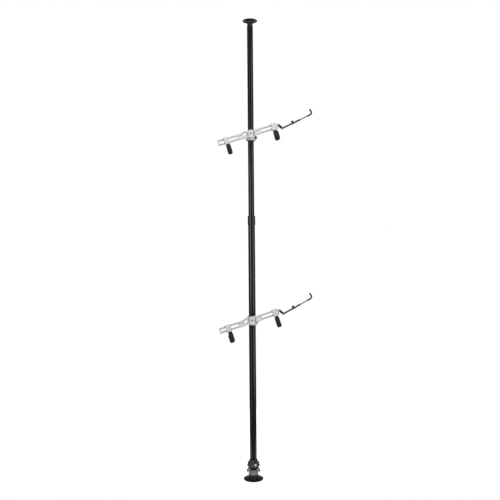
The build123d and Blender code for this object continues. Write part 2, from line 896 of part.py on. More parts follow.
def arm_casting(plane):
    """Hub wall, two cheeks and the webs whose sockets hold the rods."""
    cheek_inside = hub_half_width - cheek_thickness
    web_top = rod_half_pitch + rod_radius + web_edge
    wall_back = boss_face + edge_gap
    brace_root = -hub_half_width + overshoot
    brace_end = left_window_end - brace_overlap
    window = [(left_window_end + along, across) for along, across in window_corners]
    with BuildPart() as casting:
        with BuildSketch(plane.offset(wall_back)):
            with Locations((0, (hub_top + hub_bottom) / 2)):
                RectangleRounded(2 * hub_half_width, hub_top - hub_bottom, hub_corner)
        extrude(amount=hub_wall_thickness)
        with BuildSketch(plane.offset(wall_back)):
            with Locations((-cheek_inside - cheek_thickness / 2, (brace_top - web_top) / 2)):
                Rectangle(cheek_thickness, brace_top + web_top)
            with Locations((cheek_inside + cheek_thickness / 2, 0)):
                Rectangle(cheek_thickness, 2 * web_top)
        extrude(amount=cheek_front - wall_back)
        with BuildSketch(plane.offset(rod_front - web_thickness / 2)):
            with BuildLine():
                Polyline(
                    (-cheek_inside - overshoot, brace_top),
                    (brace_end, web_top),
                    (left_web_end, web_top),
                    (left_web_end, -web_top),
                    (-cheek_inside - overshoot, -web_top),
                    close=True,
                )
            make_face()
            with Locations(((cheek_inside + right_web_end) / 2, 0)):
                Rectangle(right_web_end - cheek_inside, 2 * web_top)
            with BuildLine():
                Polyline(*window, close=True)
            make_face(mode=Mode.SUBTRACT)
        extrude(amount=web_thickness)
        with BuildSketch(plane.offset(rod_front - brace_depth / 2)):
            with BuildLine():
                Polyline(
                    (brace_root, brace_top),
                    (brace_end, web_top),
                    (brace_end, web_top - brace_drop),
                    (brace_root, brace_top - brace_drop),
                    close=True,
                )
            make_face()
            with Locations(((left_window_end - hub_half_width) / 2, brace_drop / 2 - web_top)):
                Rectangle(lower_brace_length, brace_drop)
        extrude(amount=brace_depth)
        for side in (-1, 1):
            with BuildSketch(section(plane, left_web_end)):
                with Locations((rod_front, side * rod_half_pitch)):
                    Circle(socket_radius)
            extrude(amount=-(left_window_end - left_web_end))
            with BuildSketch(section(plane, right_web_end)):
                with Locations((rod_front, side * rod_half_pitch)):
                    Circle(socket_radius)
            extrude(amount=right_web_end - hub_half_width)
        for side in (-1, 1):
            with BuildSketch(section(plane, left_web_end)):
                with Locations((rod_front, side * rod_half_pitch)):
                    Circle(rod_radius)
            extrude(amount=-rod_insert, mode=Mode.SUBTRACT)
            with BuildSketch(section(plane, right_web_end)):
                with Locations((rod_front, side * rod_half_pitch)):
                    Circle(rod_radius)
            extrude(amount=rod_insert, mode=Mode.SUBTRACT)
        with BuildSketch(plane.offset(wall_back)):
            Circle(spigot_diameter / 2 + running_gap)
        extrude(amount=hub_wall_thickness, mode=Mode.SUBTRACT)
    return casting.part


def rods(plane):
    """Two rods at the left and two at the right, held in the casting's sockets."""
    left_inner = left_web_end + rod_insert
    right_inner = right_web_end - rod_insert
    with BuildPart() as pair:
        for side in (-1, 1):
            with BuildSketch(section(plane, rod_left_end)):
                with Locations((rod_front, side * rod_half_pitch)):
                    Circle(rod_radius)
            extrude(amount=-(left_inner - rod_left_end))
            with BuildSketch(section(plane, rod_right_end)):
                with Locations((rod_front, side * rod_half_pitch)):
                    Circle(rod_radius)
            extrude(amount=rod_right_end - right_inner)
    return pair.part


def rod_ends(plane):
    """Cap at the left, and at the right a cap with the eye that the stabiliser swings on."""
    lug_back = stabiliser_front - eye_thickness / 2
    with BuildPart() as ends:
        with BuildSketch(section(plane, rod_left_end - end_cap_floor)):
            with Locations((rod_front, 0)):
                SlotCenterToCenter(rod_pitch, 2 * end_cap_radius, rotation=90)
        extrude(amount=-end_cap_thickness)
        with BuildSketch(section(plane, right_cap_face)):
            with Locations((rod_front, 0)):
                SlotCenterToCenter(rod_pitch, 2 * end_cap_radius, rotation=90)
            with Locations(((lug_back + rod_front) / 2, 0)):
                Rectangle(rod_front - lug_back, 2 * eye_radius)
        extrude(amount=end_cap_thickness)
        with BuildSketch(plane.offset(lug_back)):
            with BuildLine():
                Polyline(
                    (rod_right_end, eye_radius),
                    (link_foot_along, link_foot_up + eye_radius),
                    (link_foot_along, link_foot_up - eye_radius),
                    (rod_right_end, -eye_radius),
                    close=True,
                )
            make_face()
            with Locations((link_foot_along, link_foot_up)):
                Circle(eye_radius)
        extrude(amount=eye_thickness)
        with BuildSketch(plane.offset(lug_back)):
            with Locations((link_foot_along, link_foot_up)):
                Circle(link_pin_diameter / 2 + running_gap)
        extrude(amount=eye_thickness, mode=Mode.SUBTRACT)
        for side in (-1, 1):
            with BuildSketch(section(plane, rod_left_end)):
                with Locations((rod_front, side * rod_half_pitch)):
                    Circle(rod_radius)
            extrude(amount=-end_cap_thickness, mode=Mode.SUBTRACT)
            with BuildSketch(section(plane, rod_right_end)):
                with Locations((rod_front, side * rod_half_pitch)):
                    Circle(rod_radius)
            extrude(amount=end_cap_thickness, mode=Mode.SUBTRACT)
    return ends.part


# Brackets and hooks

def hook_core_strip(plane, place):
    """Curved strip from the bracket down, under the cradle and up inside the tongue."""
    mid_back = hook_back_front + hook_wall / 2
    centre = hook_back_front + hook_wall + cradle_radius
    bend = centre - mid_back
    thick = hook_core_thickness / 2
    top = -bracket_height / 2 + overshoot
    with BuildPart() as strip:
        with BuildSketch(section(plane, place)):
            with BuildLine():
                outer = JernArc((mid_back - thick, -cradle_drop), (0, -1), bend + thick, 180)
                inner = JernArc((mid_back + thick, -cradle_drop), (0, -1), bend - thick, 180)
                Line(outer @ 0, (mid_back - thick, top))
                Line((mid_back - thick, top), (mid_back + thick, top))
                Line((mid_back + thick, top), inner @ 0)
                Line(outer @ 1, inner @ 1)
            make_face()
        extrude(amount=hook_core_width / 2, both=True)
    return strip.part


def bracket(plane, place):
    """Block that slides on the rods, with the steel core of its hook."""
    with BuildPart() as block:
        with BuildSketch(section(plane, place)):
            with Locations((rod_front, 0)):
                RectangleRounded(bracket_depth, bracket_height, bracket_corner)
        extrude(amount=bracket_length / 2, both=True)
        with BuildSketch(plane.offset(rod_front)):
            with Locations((place, 0)):
                RectangleRounded(bracket_length, bracket_height, bracket_front_corner)
        extrude(amount=bracket_depth, both=True, mode=Mode.INTERSECT)
        for side in (-1, 1):
            with BuildSketch(section(plane, place)):
                with Locations((rod_front, side * rod_half_pitch)):
                    Circle(bush_outer_radius)
            extrude(amount=bracket_length, both=True, mode=Mode.SUBTRACT)
        with BuildSketch(plane.offset(rod_front - bracket_depth / 2)):
            with Locations((place, 0)):
                Circle(lock_screw_diameter / 2 + running_gap)
        extrude(amount=bracket_depth / 2, mode=Mode.SUBTRACT)
        add(hook_core_strip(plane, place))
    return block.part


def bushes(plane, place):
    """Two flanged bushes, pressed in from the bracket's left side."""
    left_face = place - bracket_length / 2
    with BuildPart() as pair:
        for side in (-1, 1):
            with BuildSketch(section(plane, left_face)):
                with Locations((rod_front, side * rod_half_pitch)):
                    Circle(bush_outer_radius)
            extrude(amount=-bracket_length)
            with BuildSketch(section(plane, left_face)):
                with Locations((rod_front, side * rod_half_pitch)):
                    Circle(bush_outer_radius + bush_flange)
            extrude(amount=bush_flange_thickness_side)
        for side in (-1, 1):
            with BuildSketch(section(plane, left_face - bush_flange_thickness_side)):
                with Locations((rod_front, side * rod_half_pitch)):
                    Circle(rod_radius + running_gap)
            extrude(amount=-bracket_length - bush_flange_thickness_side, mode=Mode.SUBTRACT)
    return pair.part


def hook_pad(plane, place):
    """Rubber moulded round the core: back wall, cradle and front tongue."""
    back_inside = hook_back_front + hook_wall
    tongue_inside = back_inside + 2 * cradle_radius
    tongue_front = tongue_inside + hook_wall
    centre = back_inside + cradle_radius
    bottom_radius = centre - hook_back_front
    bottom_start = -(hook_bottom_drop - bottom_radius)
    tongue_start = -(tongue_top_drop + hook_wall / 2)
    top = -bracket_height / 2
    with BuildPart() as pad:
        with BuildSketch(section(plane, place)):
            with BuildLine():
                cradle = JernArc((back_inside, -cradle_drop), (0, -1), cradle_radius, 180)
                under = JernArc((hook_back_front, bottom_start), (0, -1), bottom_radius, 180)
                tip = JernArc((tongue_front, tongue_start), (0, 1), hook_wall / 2, 180)
                Line(under @ 0, (hook_back_front, top))
                Line((hook_back_front, top), (back_inside, top))
                Line((back_inside, top), cradle @ 0)
                Line(under @ 1, tip @ 0)
                Line(tip @ 1, cradle @ 1)
            make_face()
        extrude(amount=hook_width / 2, both=True)
        with BuildSketch(plane.offset(hook_back_front)) as face:
            with BuildLine():
                Polyline(
                    (place - hook_neck_width / 2, top),
                    (place + hook_neck_width / 2, top),
                    (place + hook_neck_width / 2, -tongue_top_drop + hook_shoulder),
                    (place + hook_width / 2, -tongue_top_drop - hook_shoulder),
                    (place + hook_width / 2, -hook_bottom_drop + hook_corner),
                    (place + hook_width / 2 - hook_corner, -hook_bottom_drop),
                    (place - hook_width / 2 + hook_corner, -hook_bottom_drop),
                    (place - hook_width / 2, -hook_bottom_drop + hook_corner),
                    (place - hook_width / 2, -tongue_top_drop - hook_shoulder),
                    (place - hook_neck_width / 2, -tongue_top_drop + hook_shoulder),
                    close=True,
                )
            make_face()
            fillet(face.vertices().group_by(Axis.Z)[0], hook_corner / 2)
        extrude(amount=tongue_front - hook_back_front, mode=Mode.INTERSECT)
        add(hook_core_strip(plane, place), mode=Mode.SUBTRACT)
    return pad.part


def lock_knob(plane, place):
    """Lobed knob behind the bracket whose screw locks it on the rods."""
    face = rod_front - bracket_depth / 2 - lock_knob_neck
    behind = Plane(
        origin=plane.from_local_coords((place, 0, face)),
        x_dir=plane.x_dir,
        z_dir=plane.z_dir * -1,
    )
    stem = lock_knob_neck + bracket_depth / 2 - lock_screw_gap
    return lobed_knob(
        behind,
        lock_knob_diameter,
        lock_knob_thickness,
        lock_knob_lobes,
        lock_screw_diameter,
        stem,
    )


# Steering stabiliser

def stabiliser_link(plane, link_angle):
    """Forked link from the rods' right end to the stabiliser tube."""
    foot, end = link_ends(link_angle)
    middle = ((foot[0] + end[0]) / 2, (foot[1] + end[1]) / 2)
    foot_slot = hypot(link_foot_along - right_cap_face, link_foot_up + eye_radius) + foot_slot_gap
    with BuildPart() as link:
        with BuildSketch(plane.offset(stabiliser_front)):
            with Locations(middle):
                SlotCenterToCenter(link_length, 2 * link_radius, rotation=link_angle)
        extrude(amount=link_thickness / 2, both=True)
        with BuildSketch(plane.offset(stabiliser_front)):
            with Locations(foot):
                Circle(foot_slot)
            with Locations(end):
                Circle(link_radius + link_slot_gap)
        extrude(amount=link_slot / 2, both=True, mode=Mode.SUBTRACT)
        with BuildSketch(plane.offset(stabiliser_front)):
            with Locations(foot, end):
                Circle(link_pin_diameter / 2)
        extrude(amount=link_thickness, both=True, mode=Mode.SUBTRACT)
    return link.part


def link_pins(plane, link_angle):
    """Two headed pins pressed in the link's cheeks."""
    half = link_thickness / 2
    with BuildPart() as pins:
        with BuildSketch(plane.offset(stabiliser_front)):
            with Locations(*link_ends(link_angle)):
                Circle(link_pin_diameter / 2)
        extrude(amount=half, both=True)
        with BuildSketch(plane.offset(stabiliser_front + half)):
            with Locations(*link_ends(link_angle)):
                Circle(link_pin_diameter / 2 + pin_head_lip)
        extrude(amount=pin_head_height)
    return pins.part


def stabiliser_tube(axis_plane):
    """Outer tube with a flat eye at its foot and the knob's boss."""
    with BuildPart() as tube:
        with BuildSketch(axis_plane):
            Circle(eye_radius)
            with Locations((outer_tube_start / 2, 0)):
                Rectangle(outer_tube_start, outer_tube_diameter)
        extrude(amount=eye_thickness / 2, both=True)
        with BuildSketch(section(axis_plane, outer_tube_start)):
            Circle(outer_tube_diameter / 2)
        extrude(amount=-(outer_tube_end - outer_tube_start))
        with BuildSketch(section(axis_plane, knob_place)):
            Circle(knob_boss_radius)
        extrude(amount=knob_boss_length / 2, both=True)
        with BuildSketch(upright(axis_plane, 0)):
            with Locations((knob_place, 0)):
                Circle(knob_post_radius)
        extrude(amount=-knob_boss_top)
        with BuildSketch(section(axis_plane, outer_tube_end)):
            Circle(inner_rod_diameter / 2 + running_gap)
        extrude(amount=outer_tube_end - outer_bore_start, mode=Mode.SUBTRACT)
        with BuildSketch(upright(axis_plane, 0)):
            with Locations((knob_place, 0)):
                Circle(stabiliser_screw_diameter / 2 + running_gap)
        extrude(amount=-knob_boss_top, mode=Mode.SUBTRACT)
        with BuildSketch(axis_plane):
            Circle(link_pin_diameter / 2 + running_gap)
        extrude(amount=eye_thickness, both=True, mode=Mode.SUBTRACT)
    return tube.part


def stabiliser_knob(axis_plane):
    """Small round knob standing on its screw above the tube."""
    rim = stabiliser_knob_diameter / 2
    bottom = stabiliser_knob_bottom
    top = bottom + stabiliser_knob_height
    screw = stabiliser_screw_diameter / 2
    screw_tip = inner_rod_diameter / 2 + stabiliser_screw_gap
    shifted = Plane(
        origin=axis_plane.from_local_coords((knob_place, 0, 0)),
        x_dir=axis_plane.x_dir,
        z_dir=axis_plane.z_dir,
    )
    with BuildPart() as knob:
        with BuildSketch(shifted):
            with BuildLine():
                Polyline(
                    (0, screw_tip),
                    (screw, screw_tip),
                    (screw, bottom),
                    (rim - stabiliser_knob_edge, bottom),
                    (rim, bottom + stabiliser_knob_edge),
                    (rim, top - stabiliser_knob_crown),
                    (rim - stabiliser_knob_crown, top),
                    (0, top),
                    close=True,
                )
            make_face()
        revolve(axis=Axis(shifted.origin, shifted.y_dir))
    return knob.part


def hooked(axis_plane, start, radius, bore, tip_length):
    """Round bar or sleeve along the inner rod: straight, bent up through the hook, straight."""
    turn = radians(hook_bend_angle)
    centre = axis_plane.from_local_coords((inner_rod_bend, hook_bend_radius, 0))
    tip_start = axis_plane.from_local_coords((
        inner_rod_bend + hook_bend_radius * sin(turn),
        hook_bend_radius * (1 - cos(turn)),
        0,
    ))
    tip_plane = Plane(
        origin=tip_start,
        x_dir=axis_plane.z_dir,
        z_dir=axis_plane.x_dir * cos(turn) + axis_plane.y_dir * sin(turn),
    )
    with BuildPart() as bar:
        for plane, amount in (
            (section(axis_plane, inner_rod_bend), inner_rod_bend - start),
            (tip_plane, tip_length),
        ):
            with BuildSketch(plane):
                Circle(radius)
                if bore > 0:
                    Circle(bore, mode=Mode.SUBTRACT)
            extrude(amount=amount)
        with BuildSketch(section(axis_plane, inner_rod_bend)):
            Circle(radius)
            if bore > 0:
                Circle(bore, mode=Mode.SUBTRACT)
        revolve(axis=Axis(centre, axis_plane.z_dir), revolution_arc=hook_bend_angle)
    return bar.part


def stabiliser_rod(axis_plane):
    """Inner rod that slides in the tube, with its end bent up into a hook."""
    return hooked(axis_plane, inner_rod_start, inner_rod_diameter / 2, 0, hook_tip_length)


def stabiliser_grip(axis_plane):
    """Soft sleeve over the rod's hooked end, closed at the tip."""
    turn = radians(hook_bend_angle)
    sleeve = hooked(axis_plane, grip_start, grip_diameter / 2, inner_rod_diameter / 2, hook_tip_length)
    tip = axis_plane.x_dir * cos(turn) + axis_plane.y_dir * sin(turn)
    rod_end = axis_plane.from_local_coords((
        inner_rod_bend + hook_bend_radius * sin(turn) + hook_tip_length * cos(turn),
        hook_bend_radius * (1 - cos(turn)) + hook_tip_length * sin(turn),
        0,
    ))
    with BuildPart() as grip:
        add(sleeve)
        with BuildSketch(Plane(origin=rod_end, x_dir=axis_plane.z_dir, z_dir=tip)):
            Circle(grip_diameter / 2)
        extrude(amount=grip_cap)
    return grip.part


# The pole's pieces

finish(foot_pad(), "foot_pad")
finish(foot_socket(), "foot_socket")
finish(axle_bracket(), "axle_bracket")
finish(pedal_axle(), "pedal_axle")
finish(pedal_lever(), "pedal_lever")
finish(treadle(), "treadle")
lower_tube = plain_tube(lower_tube_radius, lower_bore_radius, lower_tube_bottom, lower_tube_top)
finish(lower_tube, "lower_tube")
finish(lift_collar(), "lift_collar")
finish(guide_bush(), "guide_bush")
finish(height_collar(), "height_collar")
height_knob_plane = Plane(
    origin=(0, knob_boss_reach + face_gap, height_knob_height),
    x_dir=(1, 0, 0),
    z_dir=(0, 1, 0),
)
height_stem = knob_boss_reach + face_gap - upper_tube_radius - height_screw_gap
height_knob = lobed_knob(
    height_knob_plane,
    height_knob_diameter,
    height_knob_thickness,
    height_knob_lobes,
    height_screw_diameter,
    height_stem,
)
finish(height_knob, "height_knob")
finish(upper_tube(), "upper_tube")
finish(slide_shoe(), "slide_shoe")
finish(ceiling_spring(), "ceiling_spring")
finish(ceiling_foot(), "ceiling_foot")
finish(ceiling_pad(), "ceiling_pad")

# The mounts' pieces

for prefix, height, tilt, tube_diameter, link_angle, stabiliser_angle in mounts:
    front = arm_plane(height, tilt)
    stabiliser = stabiliser_plane(front, link_angle, stabiliser_angle)
    finish(liner(height, tube_diameter), f"{prefix}_liner")
    finish(clamp_body(height), f"{prefix}_clamp_body")
    finish(clamp_bolts(height), f"{prefix}_clamp_bolts")
    finish(clamp_lever(height), f"{prefix}_clamp_lever")
    finish(pivot_block(height), f"{prefix}_pivot_block")
    finish(arm_casting(front), f"{prefix}_arm_casting")
    finish(rods(front), f"{prefix}_rods")
    finish(rod_ends(front), f"{prefix}_rod_ends")
    for side, place in (("left", left_bracket_place), ("right", right_bracket_place)):
        finish(bracket(front, place), f"{prefix}_{side}_bracket")
        finish(bushes(front, place), f"{prefix}_{side}_bushes")
        finish(hook_pad(front, place), f"{prefix}_{side}_hook_pad")
        finish(lock_knob(front, place), f"{prefix}_{side}_lock_knob")
    finish(stabiliser_link(front, link_angle), f"{prefix}_stabiliser_link")
    finish(link_pins(front, link_angle), f"{prefix}_link_pins")
    finish(stabiliser_tube(stabiliser), f"{prefix}_stabiliser_tube")
    finish(stabiliser_knob(stabiliser), f"{prefix}_stabiliser_knob")
    finish(stabiliser_rod(stabiliser), f"{prefix}_stabiliser_rod")
    finish(stabiliser_grip(stabiliser), f"{prefix}_stabiliser_grip")
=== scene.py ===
# %% [markdown]
# A sprung pole stands between floor and ceiling. Two mounts are clamped to it, and each has
# a tilting silver arm, sliding brackets with rubber hooks, and a jointed stabiliser arm.
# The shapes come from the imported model, which loads in metres as a fixed frame. This script
# adds what a render needs: the camera, the light, the finishes and the finest pieces.

from math import atan2, cos, hypot, pi, radians, sin

import bmesh
import bpy
from mathutils import Matrix, Vector


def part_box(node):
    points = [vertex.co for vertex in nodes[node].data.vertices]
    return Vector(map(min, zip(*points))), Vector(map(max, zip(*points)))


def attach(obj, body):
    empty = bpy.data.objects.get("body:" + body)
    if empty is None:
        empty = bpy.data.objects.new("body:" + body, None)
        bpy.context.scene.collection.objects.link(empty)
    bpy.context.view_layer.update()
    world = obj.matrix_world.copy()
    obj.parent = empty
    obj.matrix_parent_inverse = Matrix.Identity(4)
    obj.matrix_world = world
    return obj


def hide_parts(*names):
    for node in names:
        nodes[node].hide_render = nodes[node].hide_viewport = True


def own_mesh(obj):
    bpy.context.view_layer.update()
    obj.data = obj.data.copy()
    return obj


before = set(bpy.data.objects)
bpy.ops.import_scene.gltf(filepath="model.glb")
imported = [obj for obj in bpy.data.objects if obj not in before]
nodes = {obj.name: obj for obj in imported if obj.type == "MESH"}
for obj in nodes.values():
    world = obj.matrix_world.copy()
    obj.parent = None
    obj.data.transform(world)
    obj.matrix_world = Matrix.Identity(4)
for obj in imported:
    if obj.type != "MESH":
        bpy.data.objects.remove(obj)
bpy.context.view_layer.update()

# %% [markdown]
# The camera stands four metres in front of the pole, a little above half its height, and looks
# straight at it. From closer by, the pole would taper in the picture. A long, level view keeps
# its sides parallel. The picture leans by half a degree, so the camera is rolled by as much.

# %% Camera
scene = bpy.context.scene
eye = (-0.010, -4.0, 1.535)
roll = radians(0.47)
level_view = radians(90)

camera_data = bpy.data.cameras.new("camera")
camera_data.sensor_width = 36
camera_data.lens = 45.72
camera_data.shift_y = -0.03
camera_data.clip_end = 60
camera = bpy.data.objects.new("camera", camera_data)
scene.collection.objects.link(camera)
camera.matrix_world = (
    Matrix.Translation(eye) @ Matrix.Rotation(roll, 4, "Y") @ Matrix.Rotation(level_view, 4, "X")
)
scene.camera = camera
print("camera at", tuple(round(v, 3) for v in camera.matrix_world.translation))

# %% [markdown]
# A shader is easier to read as sums than as a web of links. `Wire` wraps one output socket, so
# that `0.16 + mask * 0.05` adds the Math nodes by itself. `Graph` holds a node tree, and its
# single method `add` makes any other node: settings first, then values or links.

# %% Sums on shader sockets
class Wire:
    """An output socket that can stand in a Python expression."""

    def __init__(self, graph, socket):
        self.graph = graph
        self.socket = socket

    def maths(self, operation, first, second):
        """Join two values by a Math node."""
        return self.graph.add("Math", {"operation": operation}, {0: first, 1: second})

    def __add__(self, other):
        return self.maths("ADD", self, other)

    def __radd__(self, other):
        return self.maths("ADD", other, self)

    def __mul__(self, other):
        return self.maths("MULTIPLY", self, other)

    def __rmul__(self, other):
        return self.maths("MULTIPLY", other, self)


print("sums ready")

# %% A node tree
class Graph:
    """A node tree and the one way to add to it."""

    def __init__(self, tree):
        self.tree = tree

    def add(self, kind, settings=None, inputs=None, output=0):
        """Add a node, set it up, fill its sockets and return one of its outputs."""
        node = self.tree.nodes.new("ShaderNode" + kind)
        for setting, value in (settings or {}).items():
            setattr(node, setting, value)
        for key, value in (inputs or {}).items():
            if isinstance(value, Wire):
                self.link(value, node.inputs[key])
            else:
                node.inputs[key].default_value = value
        return Wire(self, node.outputs[output])

    def link(self, wire, socket):
        """Lead a wire to an input socket."""
        self.tree.links.new(wire.socket, socket)


print("node tree ready")

# %% [markdown]
# A finish is one material round a Principled shader. Image textures would need unwrapped
# meshes, and they blur close up. Noise in the object's own metres needs neither, and its lumps
# have a real size: a pebble of half a millimetre is that size on every piece.

# %% One finish
class Finish(Graph):
    """A material, its Principled shader and the patterns that feed it."""

    def __init__(self, name, colour, roughness, metallic=0.0):
        self.material = bpy.data.materials.new(name)
        self.material.use_nodes = True
        super().__init__(self.material.node_tree)
        self.shader = self.tree.nodes["Principled BSDF"]
        self.fix("Base Color", (*colour, 1))
        self.fix("Roughness", roughness)
        self.fix("Metallic", metallic)

    def fix(self, socket_name, value):
        """Set a socket of the shader to a constant."""
        self.shader.inputs[socket_name].default_value = value

    def feed(self, socket_name, wire):
        """Link a wire to a socket of the shader."""
        self.link(wire, self.shader.inputs[socket_name])

    def place(self):
        """Position on the object, in metres."""
        return self.add("TexCoord", output="Object")

    def stretched(self, scale, turn=(0, 0, 0), where=None):
        """Position with its axes scaled apart, for grain that runs one way."""
        where = where or self.place()
        return self.add("Mapping", {}, {"Vector": where, "Scale": scale, "Rotation": turn})

    def noise(self, size, detail, where=None):
        """Soft noise from 0 to 1, whose lumps are about this many metres across."""
        where = where or self.place()
        return self.add("TexNoise", {}, {"Vector": where, "Scale": 1 / size, "Detail": detail})

    def ramp(self, wire, low, high):
        """Spread the part of a wire between two values over 0 to 1."""
        inputs = {"Value": wire, "From Min": low, "From Max": high}
        return self.add("MapRange", {"clamp": True}, inputs)

    def shade(self, mask, first, second):
        """Mix two colours by a mask. The Mix node's colour sockets are 6 and 7, its result 2."""
        inputs = {"Factor": mask, 6: (*first, 1), 7: (*second, 1)}
        return self.add("Mix", {"data_type": "RGBA"}, inputs, output=2)

    def bump(self, height, distance, strength):
        """Feed a height to the shader's Normal through a Bump node."""
        inputs = {"Height": height, "Distance": distance, "Strength": strength}
        self.feed("Normal", self.add("Bump", {}, inputs))


finishes = {}


def cover(material, *endings):
    """Keep a material for every node whose name ends with one of these words."""
    for ending in endings:
        finishes[ending] = material
    print(material.name, "for", ", ".join(endings))


print("finish helpers ready")

# %% [markdown]
# The two tubes and the collar between them are sprayed with gloss black. A perfect mirror would
# look like glass. Spray paint has a very shallow orange peel, and handling leaves it duller in
# patches, so soft noise drives the roughness. The noise is drawn out along the height, because
# hands slide up and down a pole.

# %% Gloss black paint
def gloss_black_paint():
    paint = Finish("gloss_black_paint", colour=(0.008, 0.008, 0.009), roughness=0.18)
    drawn_out = paint.stretched((1, 1, 0.25))
    smears = paint.noise(size=0.09, detail=4, where=drawn_out)
    handled = paint.ramp(smears, low=0.42, high=0.72)
    clean, dusty = (0.007, 0.007, 0.008), (0.013, 0.013, 0.014)
    paint.feed("Roughness", 0.16 + handled * 0.05)
    paint.feed("Base Color", paint.shade(handled, clean, dusty))
    paint.bump(paint.noise(size=0.03, detail=1), distance=0.00003, strength=0.1)
    return paint.material


cover(gloss_black_paint(), "lower_tube", "upper_tube", "height_collar")

# %% [markdown]
# The mounts are silver castings. A metallic shader would mirror the dark studio and turn grey.
# A blasted casting under silver lacquer scatters light instead, so the finish is mostly diffuse,
# with a fine pebble grain, and brighter where a hand or a tool polished it.

# %% Cast silver
def cast_silver():
    silver = Finish("cast_silver", colour=(0.69, 0.70, 0.72), roughness=0.45, metallic=0.15)
    worn = silver.ramp(silver.noise(size=0.03, detail=4), low=0.3, high=0.75)
    grain = silver.noise(size=0.0007, detail=3)
    dull, bright = (0.66, 0.67, 0.69), (0.73, 0.74, 0.76)
    silver.feed("Base Color", silver.shade(worn, dull, bright))
    silver.feed("Roughness", 0.40 + worn * 0.06 + grain * 0.08)
    silver.bump(grain, distance=0.00006, strength=0.4)
    return silver.material


cover(cast_silver(), "clamp_body", "pivot_block", "arm_casting", "rod_ends", "bracket")

# %% [markdown]
# The rods are drawn and then ground, which leaves fine lines along them. Scratches modelled one
# by one would be far too many. Noise squeezed along one axis gives the same lines. Each rod lies
# in its own mount's tilt, so the noise is turned by that tilt first.

# %% Ground steel rods
def ground_rod(name, tilt):
    steel = Finish(name, colour=(0.66, 0.67, 0.69), roughness=0.30, metallic=0.35)
    along_rod = steel.stretched((1, 1, 1), turn=(0, radians(tilt), 0))
    squeezed = steel.stretched((0.03, 1, 1), where=along_rod)
    lines = steel.noise(size=0.0012, detail=3, where=squeezed)
    patches = steel.noise(size=0.04, detail=3)
    dull, bright = (0.62, 0.63, 0.65), (0.71, 0.72, 0.74)
    steel.feed("Roughness", 0.22 + lines * 0.10 + patches * 0.06)
    steel.feed("Base Color", steel.shade(patches, dull, bright))
    steel.bump(lines, distance=0.00002, strength=0.3)
    return steel.material


upper_tilt = 16.0
lower_tilt = 18.0
cover(ground_rod("upper_ground_rod", upper_tilt), "upper_rods")
cover(ground_rod("lower_ground_rod", lower_tilt), "lower_rods")

# %% [markdown]
# Bolts, pins and the spring are zinc plated: a cool, slightly blue grey. Plating grows in
# crystals and never looks even, so small cloudy patches change both its tone and its shine.

# %% Zinc plate
def zinc_plate():
    zinc = Finish("zinc_plate", colour=(0.66, 0.67, 0.70), roughness=0.3, metallic=0.5)
    clouds = zinc.noise(size=0.006, detail=3)
    dull, bright = (0.60, 0.61, 0.64), (0.72, 0.73, 0.75)
    zinc.feed("Base Color", zinc.shade(clouds, dull, bright))
    zinc.feed("Roughness", 0.22 + clouds * 0.18)
    zinc.bump(zinc.noise(size=0.0006, detail=2), distance=0.00003, strength=0.4)
    return zinc.material


zinc = zinc_plate()
cover(zinc, "pedal_axle", "ceiling_spring", "clamp_bolts", "link_pins")

# %% [markdown]
# The foot's bracket and lever, the ceiling foot and the stabiliser arms are powder coated. Powder
# melts into a dense pebbled skin, coarser than spray paint and only half as shiny. One recipe
# makes two tones. The second is painted shade: the parts at the foot sit in each other's shade,
# so their coat is painted nearly pure black to stand in for it.

# %% Black powder coat
def black_powder_coat(name, dark, dusty, shine):
    coat = Finish(name, colour=dark, roughness=0.42)
    coat.fix("Specular IOR Level", shine)
    dust = coat.noise(size=0.02, detail=5)
    coat.feed("Base Color", coat.shade(coat.ramp(dust, low=0.45, high=0.75), dark, dusty))
    coat.feed("Roughness", 0.36 + dust * 0.16)
    coat.bump(coat.noise(size=0.0012, detail=2), distance=0.0001, strength=0.4)
    return coat.material


powder = black_powder_coat(
    "black_powder_coat", dark=(0.014, 0.014, 0.015), dusty=(0.028, 0.028, 0.029), shine=0.5
)
# Painted shade: the parts at the foot get a near-black copy of the powder coat, for the shade they
# sit in.
painted_shade_foot_powder = black_powder_coat(
    "painted_shade_foot_powder_coat", dark=(0.003, 0.003, 0.0035), dusty=(0.009, 0.009, 0.0095), shine=0.3
)
cover(powder, "ceiling_foot", "clamp_lever")
cover(powder, "stabiliser_link", "stabiliser_tube", "stabiliser_rod")
cover(painted_shade_foot_powder, "axle_bracket", "pedal_lever", "lift_collar")

# %% [markdown]
# Moulded rubber has a soft grain and a grey bloom in its hollows, and it picks up dust, so its
# colour drifts between near-black and dark grey. One even grey would look like card. The hooks
# are the dullest pieces here. The foot pad has a slight gloss, and the same recipe makes it a
# darker and shinier rubber.

# %% Moulded rubber
def moulded_rubber(name, dark, dusty, dullness):
    rubber = Finish(name, colour=dark, roughness=dullness)
    rubber.fix("Specular IOR Level", 0.35)
    bloom = rubber.noise(size=0.012, detail=6)
    grain = rubber.noise(size=0.0009, detail=3)
    rubber.feed("Base Color", rubber.shade(rubber.ramp(bloom, low=0.35, high=0.8), dark, dusty))
    rubber.feed("Roughness", dullness - 0.1 + bloom * 0.2)
    rubber.bump(grain, distance=0.00015, strength=0.5)
    return rubber.material


black_rubber = moulded_rubber(
    "black_rubber", dark=(0.013, 0.013, 0.014), dusty=(0.026, 0.026, 0.027), dullness=0.68
)
foot_rubber = moulded_rubber(
    "foot_rubber", dark=(0.005, 0.005, 0.0055), dusty=(0.012, 0.012, 0.0125), dullness=0.42
)
cover(black_rubber, "ceiling_pad", "hook_pad", "stabiliser_grip")
cover(foot_rubber, "foot_pad")

# %% [markdown]
# Knobs, bushes and sleeves are moulded from black nylon. A mould that was spark eroded leaves an
# even, very fine texture, which makes such plastic look soft grey. Voronoi cells are closer to
# those tiny craters than noise is.

